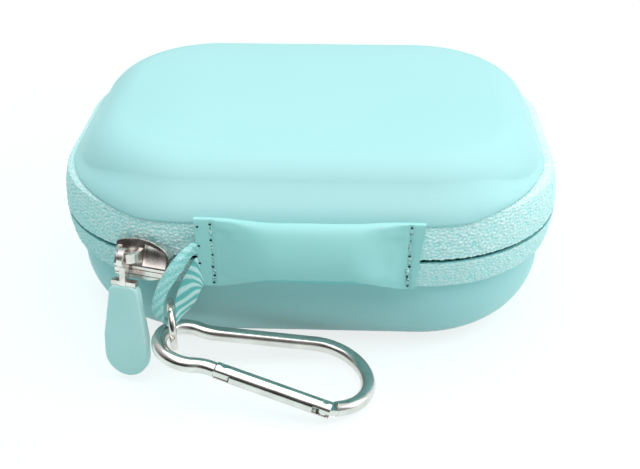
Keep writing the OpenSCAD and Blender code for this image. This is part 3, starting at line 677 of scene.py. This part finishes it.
class CASE_OT_turn_skin(bpy.types.Operator):
    """Turn the lid's skin out over the zip tape: far at the front, hardly at the sides"""

    bl_idname = "earbud_case.turn_skin"
    bl_label = "Turn the lid's skin out"

    def execute(self, context):
        cover = BVHTree.FromObject(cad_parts["lid_cover"], context.evaluated_depsgraph_get())

        def on_cover(s, z):
            # Inset of the cover's own skin at a height
            x, y, nx, ny = round_belt(s)
            hit = cover.ray_cast(Vector((x + 5 * nx, y + 5 * ny, z)) * MM, Vector((-nx, -ny, 0)))
            if hit[0] is None:
                raise RuntimeError("the lid's skin wasn't found at height %.1f" % z)
            return hit[3] / MM - 5

        def reach(s):
            # Inset of the lip: over the tape for 30 mm to each side of the front's middle, and at the cover's
            # foot from 60 mm on. The right and left insets meet over 30 mm of the back
            ahead = min(s % ROUND, ROUND - s % ROUND)
            side = between(LIP_RIGHT, LIP_LEFT, ease((s % ROUND - ROUND / 2 + 15) / 30))
            return between(LIP_FRONT, side, ease((ahead - 30) / 30))

        def way(s):
            out = reach(s)
            w = ease((LIP_RIGHT - out) / 2.5)
            # The lip ends just above the tape's shoulder, so that a fine dark line stays between them
            over = math.acos(1 - max(0.0, out - SHOULDER_INSET) / SHOULDER_DEEP)
            lip = SHOULDER_Z + SHOULDER * math.sin(over) + 0.14
            # Where it reaches farthest, it comes down over the shoulder's edge
            lip -= 0.6 * ease((0.85 - out) / 0.25)
            # It leaves the cover's skin low at the sides and high at the front
            z = between(36.2, 39.6, w)
            start = Vector((on_cover(s, z) + 0.02, z, 0))
            fall = Vector((on_cover(s, z - 0.5) - on_cover(s, z + 0.5), -1, 0)).normalized()
            end = Vector((out, lip + 0.1, 0))
            far = (end - start).length
            one, two = start + fall * far * 0.36, end + Vector((0.25, 1, 0)).normalized() * far * 0.3
            curve = [start * (1 - t) ** 3 + one * 3 * t * (1 - t) ** 2 + two * 3 * t * t * (1 - t) + end * t ** 3
                     for t in (i / LIP_FALL for i in range(LIP_FALL + 1))]
            return curve + [Vector((out + dx, lip + dz, 0)) for dx, dz in ((0.06, 0), (0.3, -0.03), (0.9, 0))]

        ways = [way(i * ROUND / LIP_COLUMNS) for i in range(LIP_COLUMNS)]
        rows = len(ways[0]) - 1

        def place(u, v):
            x, y, nx, ny = round_belt(u * ROUND)
            inset, z, _ = ways[round(u * LIP_COLUMNS) % LIP_COLUMNS][round(v * rows)]
            return x - nx * inset, y - ny * inset, z

        foot = mapped_grid("lid_skin_foot", LIP_COLUMNS, rows, place, (ROUND, 6.0))
        edit(foot, lambda: bpy.ops.mesh.remove_doubles(threshold=1e-6))
        apply_flip(foot)
        smooth(foot, 60)
        dress(foot, bpy.data.materials["moulded_pu_skin"], "lid")
        return {"FINISHED"}


# ---- Strap handle ----


def rolled(x):
    """How far the strap is rolled round its foam at x, from 0 at the flat ends to 1."""
    return ease(min((x - ROLL_FROM[0]) / ROLL_OVER[0], (ROLL_FROM[1] - x) / ROLL_OVER[1]))


def strap_point(x, turn, bulk):
    """Point on the strap's section at x; turn runs once round it."""
    t = rolled(x)
    # A flat end is 14.6 mm high and 1.4 mm thick with square edges, the roll 10.8 mm high and round
    middle, half_h = between(27.15, 29.0, t), between(7.3, 5.4, t)
    half_t = between(1.4, bulk, t) / 2
    centre = -HALF_D - 0.1 - half_t
    power = between(0.32, 1.0, t)
    c, s = math.cos(turn), math.sin(turn)
    y = centre - math.copysign(abs(c) ** power, c) * half_t
    z = middle + math.copysign(abs(s) ** power, s) * half_h
    # The roll's top lies back against the lid and its foot stands out
    y += 0.21 * t * (z - middle)
    if x < 0:
        # The left end is cut a little aslant and sits higher
        x += 0.045 * (27.4 - z) * ease(-x / 20)
        z += 0.5 * ease((-x - 6) / 14) * (s > 0) * s
    else:
        # The right end's foot is cut back
        x -= 0.11 * (34.4 - z) * ease((x - 17) / 6.2)
    if c > 0:
        # The stitch rows draw the cover down, and small creases run out of them into the roll
        for at, way in zip(STITCH_X, (1, -1)):
            y += 0.3 * c * math.exp(-((x - at) / 0.5) ** 2)
            crease = math.exp(-((x - at - 3.2 * way) / 2.4) ** 2)
            y += 0.42 * crease * c * noise.noise(Vector((x * 0.22, z * 0.6, 7.0)))
        y += 0.16 * t * c * noise.noise(Vector((x * 0.08, z * 0.2, 1.0)))
        # The turned edge stands out as a fine welt along the roll's foot
        y -= 0.32 * t * math.exp(-((math.atan2(s, c) + 1.2) / 0.12) ** 2)
    else:
        y = min(y, -HALF_D - 0.1)
    return x, y, z


class CASE_OT_make_strap(bpy.types.Operator):
    """Make the padded strap handle with its flat sewn ends"""

    bl_idname = "earbud_case.make_strap"
    bl_label = "Make the strap handle"

    def execute(self, context):
        bulk = context.scene.case_soft_sizes.strap_bulk / MM

        def place(u, v):
            return strap_point(between(STRAP_LEFT, STRAP_HALF, u), v * math.tau, bulk)

        strap = mapped_grid("strap_handle", 150, 72, place, (2 * STRAP_HALF, 30.0))
        close_tube(strap)
        smooth(strap, 50)
        dress(strap, strap_pu())
        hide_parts("handle_cover", "handle_backing", "handle_pad")
        bend_with_hinge(strap)
        return {"FINISHED"}


class CASE_OT_sew_strap(bpy.types.Operator):
    """Sew the strap's ends: a row of thread between needle holes, each a disc of painted shadow, at each end, and
    more holes on the left
    """

    bl_idname = "earbud_case.sew_strap"
    bl_label = "Sew the strap"

    def execute(self, context):
        sizes = context.scene.case_soft_sizes
        length, bulk = sizes.stitch_length / MM, sizes.strap_bulk / MM
        threads, holes = [], []
        # Hand-guided rows, as place, slant and the holes' heights: the needle's steps aren't even, the right row
        # follows the slanted end, and the last row has holes only
        rows = [(STITCH_X[0], 0.0, (20.8, 22.5, 24.4, 27.1, 30.4, 33.9)),
                (STITCH_X[1] + 0.4, 0.04, (20.9, 23.1, 25.3, 27.6, 30.9, 33.8)),
                (STRAP_LEFT + 0.4, 0.0, (21.0, 25.3, 29.2, 33.4))]
        for n, (x, slant, heights) in enumerate(rows):
            for i, z in enumerate(heights):
                away = 0.45 * noise.noise(Vector((n * 5.1, i * 1.7, 0.0))) - slant * (34.4 - z)
                holes.append(self.hole(x + away, z, bulk))
                if i < len(heights) - 1 and n < 2:
                    step = heights[i + 1] - z
                    threads.append(self.stitch(x + away, z + 0.15, min(length, step - 0.2), bulk))
        thread = join("strap_stitches", threads)
        smooth(thread, 60)
        dress(thread, sewing_thread())
        bend_with_hinge(thread)
        # Each needle hole is a dark disc of painted shadow
        hole_shadows = join("strap_needle_hole_shadows", holes)
        dress(hole_shadows, needle_hole())
        bend_with_hinge(hole_shadows)
        return {"FINISHED"}

    def surface(self, x, z, bulk):
        """The strap's outer face at x and z."""
        best = min((strap_point(x, math.radians(a), bulk) for a in range(-88, 89, 2)),
                   key=lambda p: abs(p[2] - z))
        return best[1]

    def stitch(self, x, z, length, bulk):
        """A thread over the surface, thick in the middle and dipping into its holes."""
        deselect()
        bpy.ops.mesh.primitive_cylinder_add(vertices=8, radius=THREAD_R * MM, depth=length * MM)
        piece = bpy.context.object
        edit(piece,
             lambda: bpy.ops.mesh.subdivide(number_cuts=3),
             lambda: bpy.ops.mesh.remove_doubles(threshold=1e-7))
        y = self.surface(x, z + length / 2, bulk)
        lean = 0.45 * noise.noise(Vector((x, z, 9.0)))
        for v in piece.data.vertices:
            t = v.co.z / (length * MM / 2)
            narrow = math.sqrt(max(0.05, 1 - abs(t) ** 3))
            v.co.x = v.co.x * narrow + lean * t * MM + x * MM
            v.co.y = v.co.y * narrow * 0.7 + (y - 0.02 + 0.3 * t * t) * MM
            v.co.z += (z + length / 2) * MM
        return piece

    def hole(self, x, z, bulk):
        """A small dark disc of painted shadow for a needle hole, lying just off the surface."""
        deselect()
        bpy.ops.mesh.primitive_circle_add(
            vertices=12, radius=HOLE_R * MM, fill_type="NGON", rotation=(math.pi / 2, 0, 0))
        piece = bpy.context.object
        settle(piece)
        edit(piece, lambda: bpy.ops.mesh.inset(thickness=0.12 * MM, depth=-0.08 * MM))
        y = self.surface(x, z, bulk) - 0.12
        for v in piece.data.vertices:
            v.co = (v.co.x + x * MM, v.co.y + y * MM, v.co.z * 0.8 + z * MM)
        return piece


# ---- Ribbon, slider and pull ----

# Front and back edge of the ribbon in millimetres: from the strap's end down, through the jump ring and up again
RIBBON_FRONT = [
    (-20.2, -42.2, 27.4), (-21.1, -43.2, 27.5), (-22.1, -44.4, 26.6), (-23.1, -45.5, 25.3), (-24.6, -46.4, 23.3),
    (-26.2, -46.9, 20.5), (-26.9, -47.0, 17.4), (-26.9, -46.8, 14.8), (-26.0, -46.5, 12.8), (-25.1, -45.9, 13.8),
    (-24.9, -45.0, 15.6), (-24.9, -44.2, 17.9), (-23.5, -43.5, 21.6), (-22.1, -43.0, 24.2), (-20.8, -42.6, 26.2),
    (-20.0, -42.2, 26.4)]
RIBBON_BACK = [
    (-20.2, -41.9, 29.6), (-21.3, -42.8, 29.8), (-22.9, -43.9, 28.8), (-24.5, -45.0, 27.3), (-26.5, -46.0, 24.5),
    (-28.0, -46.3, 21.2), (-28.5, -45.7, 17.7), (-28.0, -44.6, 14.5), (-26.0, -42.9, 12.4), (-24.1, -42.7, 13.4),
    (-22.8, -42.9, 14.6), (-21.2, -43.1, 16.9), (-20.1, -42.9, 19.4), (-19.8, -42.7, 20.0), (-19.6, -42.4, 20.2),
    (-19.2, -42.1, 20.3)]
RIBBON_UV = 46.0


def smooth_way(points, t):
    """Catmull-Rom point on a way at t from 0 to 1."""
    spans = len(points) - 1
    k = min(int(t * spans), spans - 1)
    f = t * spans - k
    p = [Vector(points[max(0, min(spans, k + d))]) for d in (-1, 0, 1, 2)]
    return 0.5 * ((2 * p[1]) + (p[2] - p[0]) * f + (2 * p[0] - 5 * p[1] + 4 * p[2] - p[3]) * f * f
                  + (3 * p[1] - p[0] - 3 * p[2] + p[3]) * f ** 3)


class CASE_OT_hang_ribbon(bpy.types.Operator):
    """Hang the satin ribbon from the strap's left end through the jump ring"""

    bl_idname = "earbud_case.hang_ribbon"
    bl_label = "Hang the ribbon"

    def execute(self, context):
        width = context.scene.case_soft_sizes.ribbon_width / MM

        def place(u, v):
            front, back = smooth_way(RIBBON_FRONT, u), smooth_way(RIBBON_BACK, u)
            side = back - front
            ahead = smooth_way(RIBBON_FRONT, min(1.0, u + 0.01)) - smooth_way(RIBBON_FRONT, max(0.0, u - 0.01))
            face = side.cross(ahead).normalized()
            # What the edges don't span of the width is folded out towards the front, sharply on the left leg
            spare = math.sqrt(max(0.0, width ** 2 - side.length ** 2)) / 2
            # The ridge lies off the middle of the left leg
            crest = between(0.74, 0.5, ease(2 * u - 0.6))
            ridge = 1 - (1 - min(v / crest, (1 - v) / (1 - crest))) ** between(1.15, 2.0, u)
            depth = min(spare, 1.5) * (math.exp(-((u - 0.3) / 0.2) ** 2) + 0.12)
            return front + side * v + face * depth * ridge

        ribbon = mapped_grid("satin_ribbon", 200, 16, place, (RIBBON_UV, width))
        apply_modifier(ribbon, "SOLIDIFY", thickness=0.35 * MM, offset=0.0)
        smooth(ribbon, 50)
        dress(ribbon, satin_ribbon())
        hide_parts("ribbon_loop")
        bend_with_hinge(ribbon)
        return {"FINISHED"}


class CASE_OT_plate_metal(bpy.types.Operator):
    """Plate the slider, the link, the ring and the carabiner"""

    bl_idname = "earbud_case.plate_metal"
    bl_label = "Plate the metal"

    def execute(self, context):
        finish_nodes(die_cast_nickel("die_cast_zinc_nickel"), "slider_crown", "pull_link")
        # The slider's two cast grooves are darkened with painted shade
        finish_nodes(die_cast_nickel("die_cast_zinc_groove_shade", (22.7, 23.9)), "slider_body")
        finish_nodes(plated_steel(), "jump_ring", "gate_pin", "gate_nose_pin", "gate_spring")
        finish_nodes(polished_aluminium(), "carabiner_body", "gate_sleeve")
        return {"FINISHED"}


class CASE_OT_mould_tab(bpy.types.Operator):
    """Mould the silicone pull tab with rounded edges"""

    bl_idname = "earbud_case.mould_tab"
    bl_label = "Mould the pull tab"

    def execute(self, context):
        # The tab's own frame: x across, y up from the link, z out of the face
        top, foot, length, thick, drop = 5.8 / 2, 9.2 / 2, 20.0, 2.2, 5.6
        outline = [(-foot, 4 - length + foot), (-top - 0.1, -1.0), (-top + 0.6, 0.0),
                   (top - 0.6, 0.0), (top + 0.1, -1.0), (foot, 4 - length + foot)]
        outline += [(foot * math.cos(math.radians(a)), foot - length - foot * math.sin(math.radians(a)))
                    for a in range(0, 181, 10)]
        deselect()
        bpy.ops.mesh.primitive_circle_add(vertices=len(outline), radius=1 * MM, fill_type="NGON")
        tab = bpy.context.object
        tab.name = "silicone_pull_tab"
        for v, (x, y) in zip(tab.data.vertices, reversed(outline)):
            v.co = (x * MM, (y - drop) * MM, -thick / 2 * MM)
        edit(tab,
             lambda: bpy.ops.mesh.extrude_region_move(TRANSFORM_OT_translate={"value": (0, 0, thick * MM)}),
             lambda: bpy.ops.mesh.select_all(action="SELECT"),
             lambda: bpy.ops.mesh.normals_make_consistent(inside=False))
        apply_modifier(tab, "BEVEL", width=0.62 * MM, segments=5, limit_method="ANGLE",
                       angle_limit=math.radians(50), profile=0.6)
        place_on_pull(tab)
        smooth(tab, 40)
        dress(tab, moulded_silicone(), "pull")
        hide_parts("pull_tab")
        return {"FINISHED"}


def place_on_pull(piece):
    """Moves a piece from the pull's own frame to its place on the slider."""
    turn, lean = math.radians(15), math.radians(7)
    out = Vector((-math.sin(turn), -math.cos(turn), 0))
    along = Vector((math.cos(turn), -math.sin(turn), 0))
    up = Vector((0, 0, 1)) * math.cos(lean) - out * math.sin(lean)
    face = out * math.cos(lean) + Vector((0, 0, 1)) * math.sin(lean)
    placed = Matrix((along, up, face)).transposed().to_4x4()
    placed.translation = Vector(PULL_PIVOT) * MM
    piece.data.transform(placed)


# ---- Pocket ----


class CASE_OT_sew_pocket(bpy.types.Operator):
    """Sew the lid's net pocket with its elastic hem"""

    bl_idname = "earbud_case.sew_pocket"
    bl_label = "Sew the net pocket"

    def execute(self, context):
        pitch = context.scene.case_soft_sizes.net_pitch / MM
        low, high = (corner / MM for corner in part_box("pocket_mesh"))
        wide, deep = high.x - low.x, high.y - low.y
        across, along = int(wide / pitch), int(deep / pitch)

        def place(u, v):
            x, y = between(low.x + 0.6, high.x - 0.6, u), between(low.y + 0.3, high.y - 0.6, v)
            pull = math.sin(math.pi * u)
            z = low.z + 0.35 - 0.1 * pull * math.sin(math.pi * v)
            return x + 0.15 * math.sin(v * 40), y + 0.15 * math.sin(u * 50), z

        # Real strands are about 0.3 mm thick. They are drawn at 0.5 mm, so that they show
        net = mapped_grid("pocket_net", across, along, place, (wide, deep))
        apply_modifier(net, "WIREFRAME", thickness=0.5 * MM, use_even_offset=False)
        border = []
        top = high.z - 0.2
        middle = (low + high) / 2
        for x, y, sx, sy in [(low.x + 0.6, middle.y, 1.1, deep), (high.x - 0.6, middle.y, 1.1, deep),
                             (middle.x, high.y - 0.6, wide, 1.1)]:
            deselect()
            bpy.ops.mesh.primitive_cube_add(size=1, location=(x * MM, y * MM, (low.z + top) / 2 * MM))
            wall = bpy.context.object
            wall.scale = (sx * MM, sy * MM, (top - low.z) * MM)
            settle(wall)
            apply_modifier(wall, "BEVEL", width=0.3 * MM, segments=2)
            border.append(wall)
        net = join("pocket_net", [net] + border)
        hem_low, hem_high = (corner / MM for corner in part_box("pocket_hem"))

        def hem_place(u, v):
            a = v * math.tau
            ruffle = 0.12 * math.sin(u * 150)
            c, s = math.cos(a), math.sin(a)
            y = between(hem_low.y, hem_high.y, 0.5 + 0.47 * math.copysign(abs(c) ** 0.4, c))
            z = between(hem_low.z, hem_high.z, 0.5 + 0.42 * math.copysign(abs(s) ** 0.6, s)) + ruffle * abs(s)
            return between(hem_low.x, hem_high.x, u), y, z

        hem = mapped_grid("pocket_hem_elastic", 240, 20, hem_place, (wide, 8.0))
        close_tube(hem)
        smooth(hem, 50)
        dress(net, knitted_net("warp_knitted_net", "#3d474a", "#20272a"), "lid")
        dress(hem, knitted_net("covered_elastic", "#30383b", "#171c1e"), "lid")
        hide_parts("pocket_mesh")
        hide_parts("pocket_hem")
        return {"FINISHED"}


# ---- Stage ----


class CASE_OT_set_stage(bpy.types.Operator):
    """Lay the paper, hang the lights and place the camera"""

    bl_idname = "earbud_case.set_stage"
    bl_label = "Set the stage"

    def execute(self, context):
        studio = context.scene.case_studio
        self.lay_paper(list(studio.paper) + [1.0])
        self.hang_light("key_softbox", (0.05, -0.12, 0.61), 0.7, studio.key_power)
        self.hang_light("fill_softbox", (0.62, -0.02, 0.30), 0.45, studio.fill_power)
        self.light_world(context.scene)
        self.place_camera(context.scene)
        context.scene.view_settings.view_transform = "Standard"
        return {"FINISHED"}

    def lay_paper(self, colour):
        """A matt sheet that looks white to the eye and still takes the case's soft shadow."""
        deselect()
        bpy.ops.mesh.primitive_plane_add(size=4, location=(0, 0, -0.0002))
        paper = bpy.context.object
        paper.name = "paper_sweep"
        made, tree, shader = start_material("matt_paper", Roughness=0.9, Specular_IOR_Level=0.1)
        shader.inputs["Base Color"].default_value = colour
        rays = add_node(tree, "ShaderNodeLightPath").outputs
        seen = rays["Is Camera Ray"]
        for kind in ("Is Glossy Ray", "Is Transmission Ray"):
            seen = add_node(tree, "ShaderNodeMath", {0: seen, 1: rays[kind]}, operation="MAXIMUM").outputs[0]
        share = add_node(tree, "ShaderNodeMath", {0: seen, 1: 0.55}, operation="MULTIPLY")
        # The paper stays white far from the case, where the lamps don't reach
        spot = add_node(tree, "ShaderNodeTexCoord").outputs["Object"]
        away = add_node(tree, "ShaderNodeVectorMath", {0: spot}, operation="LENGTH")
        glow = add_node(tree, "ShaderNodeMapRange", {
            "Value": away.outputs["Value"], "From Min": 0.1, "From Max": 0.6, "To Min": 1.42, "To Max": 1.85})
        white = add_node(tree, "ShaderNodeEmission", {"Color": (1, 1, 1, 1), "Strength": glow.outputs["Result"]})
        mixed = add_node(tree, "ShaderNodeMixShader", {
            0: share.outputs[0], 1: shader.outputs["BSDF"], 2: white.outputs["Emission"]})
        tree.links.new(mixed.outputs["Shader"], tree.nodes["Material Output"].inputs["Surface"])
        paper.data.materials.append(made)

    def hang_light(self, name, spot, size, power):
        """A square softbox that faces the case."""
        deselect()
        bpy.ops.object.light_add(type="AREA", location=spot)
        lamp = bpy.context.object
        lamp.name = name
        lamp.data.size = size
        lamp.data.energy = power
        toward = Vector((0, 0, 0.02)) - Vector(spot)
        lamp.rotation_euler = toward.to_track_quat("-Z", "Y").to_euler()

    def light_world(self, scene):
        """The room: white to the camera, graded in reflections, tinted in diffuse light."""
        world = bpy.data.worlds.new("studio_room")
        world.use_nodes = True
        tree = world.node_tree
        tree.nodes.clear()
        ray = add_node(tree, "ShaderNodeTexCoord").outputs["Generated"]
        split = add_node(tree, "ShaderNodeSeparateXYZ", {"Vector": ray})
        # A dark side behind the camera grows pale towards the back, the ceiling and the right: each row is an
        # axis, where the change starts and ends along it, and the strength that it starts and ends with
        room = 0.0
        walls = [("Y", -0.6, 0.4, 0.04, 0.55), ("Z", 0.45, 0.8, 0.0, 0.4), ("X", 0.2, 0.9, 0.0, 0.35)]
        for axis, start, end, dark, pale in walls:
            wall = add_node(tree, "ShaderNodeMapRange", {
                "Value": split.outputs[axis], "From Min": start, "From Max": end, "To Min": dark, "To Max": pale})
            sum_up = add_node(tree, "ShaderNodeMath", {0: room, 1: wall.outputs["Result"]}, operation="ADD")
            room = sum_up.outputs[0]
        mirrored = add_node(tree, "ShaderNodeBackground", {"Color": (1, 1, 1, 1), "Strength": room})
        # Soft bounce with the dye's tint fills the shade of matt surfaces
        soft = add_node(tree, "ShaderNodeMath", {0: room, 1: 0.07}, operation="ADD")
        bounce = add_node(tree, "ShaderNodeBackground", {"Color": hex_rgb("#9eeeee"), "Strength": soft.outputs[0]})
        white = add_node(tree, "ShaderNodeBackground", {"Color": (1, 1, 1, 1), "Strength": 1.0})
        rays = add_node(tree, "ShaderNodeLightPath").outputs
        seen = mirrored.outputs["Background"]
        for kind, sky in (("Is Diffuse Ray", bounce), ("Is Camera Ray", white)):
            seen = add_node(tree, "ShaderNodeMixShader", {
                0: rays[kind], 1: seen, 2: sky.outputs["Background"]}).outputs["Shader"]
        add_node(tree, "ShaderNodeOutputWorld", {"Surface": seen})
        scene.world = world

    def place_camera(self, scene):
        """The camera at the photo's place and angle."""
        deselect()
        bpy.ops.object.camera_add(location=[c * MM for c in CAMERA_AT])
        camera = bpy.context.object
        camera.name = "photo_camera"
        camera.data.sensor_width = 36
        camera.data.lens = CAMERA_LENS
        camera.data.clip_start = 0.01
        pitch, yaw, roll = (math.radians(a) for a in (CAMERA_DOWN, CAMERA_RIGHT, CAMERA_LEAN))
        ahead = Vector((math.sin(yaw) * math.cos(pitch), math.cos(yaw) * math.cos(pitch), -math.sin(pitch)))
        right = Vector((math.cos(yaw), -math.sin(yaw), 0))
        above = right.cross(ahead)
        c, s = math.cos(roll), math.sin(roll)
        right, above = right * c + above * s, above * c - right * s
        camera.rotation_euler = Matrix((right, above, -ahead)).transposed().to_euler()
        scene.camera = camera


class CASE_PT_panel(bpy.types.Panel):
    """Everything that dresses the case, in the order it is run"""

    bl_idname = "CASE_PT_panel"
    bl_label = "Earbud Case"
    bl_space_type = "VIEW_3D"
    bl_region_type = "UI"
    bl_category = "Earbud Case"

    def draw(self, context):
        for step in STEPS:
            self.layout.operator(step.bl_idname)
        for group in (context.scene.case_soft_sizes, context.scene.case_studio):
            box = self.layout.box()
            for key in group.__annotations__:
                box.prop(group, key)


STEPS = [CASE_OT_set_stage, CASE_OT_dress_shells, CASE_OT_weave_tapes, CASE_OT_turn_skin, CASE_OT_make_strap,
         CASE_OT_sew_strap, CASE_OT_hang_ribbon, CASE_OT_plate_metal, CASE_OT_mould_tab, CASE_OT_sew_pocket]
GROUPS = [CaseSoftSizes, CaseStudio]


def register():
    """Adds the settings, operators and panel to Blender."""
    for cls in GROUPS + STEPS + [CASE_PT_panel]:
        bpy.utils.register_class(cls)
    bpy.types.Scene.case_soft_sizes = bpy.props.PointerProperty(type=CaseSoftSizes)
    bpy.types.Scene.case_studio = bpy.props.PointerProperty(type=CaseStudio)


def unregister():
    """Takes them away again."""
    del bpy.types.Scene.case_studio
    del bpy.types.Scene.case_soft_sizes
    for cls in reversed(GROUPS + STEPS + [CASE_PT_panel]):
        bpy.utils.unregister_class(cls)


def main():
    """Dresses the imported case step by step."""
    register()
    bpy.ops.earbud_case.set_stage()
    bpy.ops.earbud_case.dress_shells()
    bpy.ops.earbud_case.weave_tapes()
    bpy.ops.earbud_case.turn_skin()
    bpy.ops.earbud_case.make_strap()
    bpy.ops.earbud_case.sew_strap()
    bpy.ops.earbud_case.hang_ribbon()
    bpy.ops.earbud_case.plate_metal()
    bpy.ops.earbud_case.mould_tab()
    bpy.ops.earbud_case.sew_pocket()


if __name__ == "__main__":
    main()
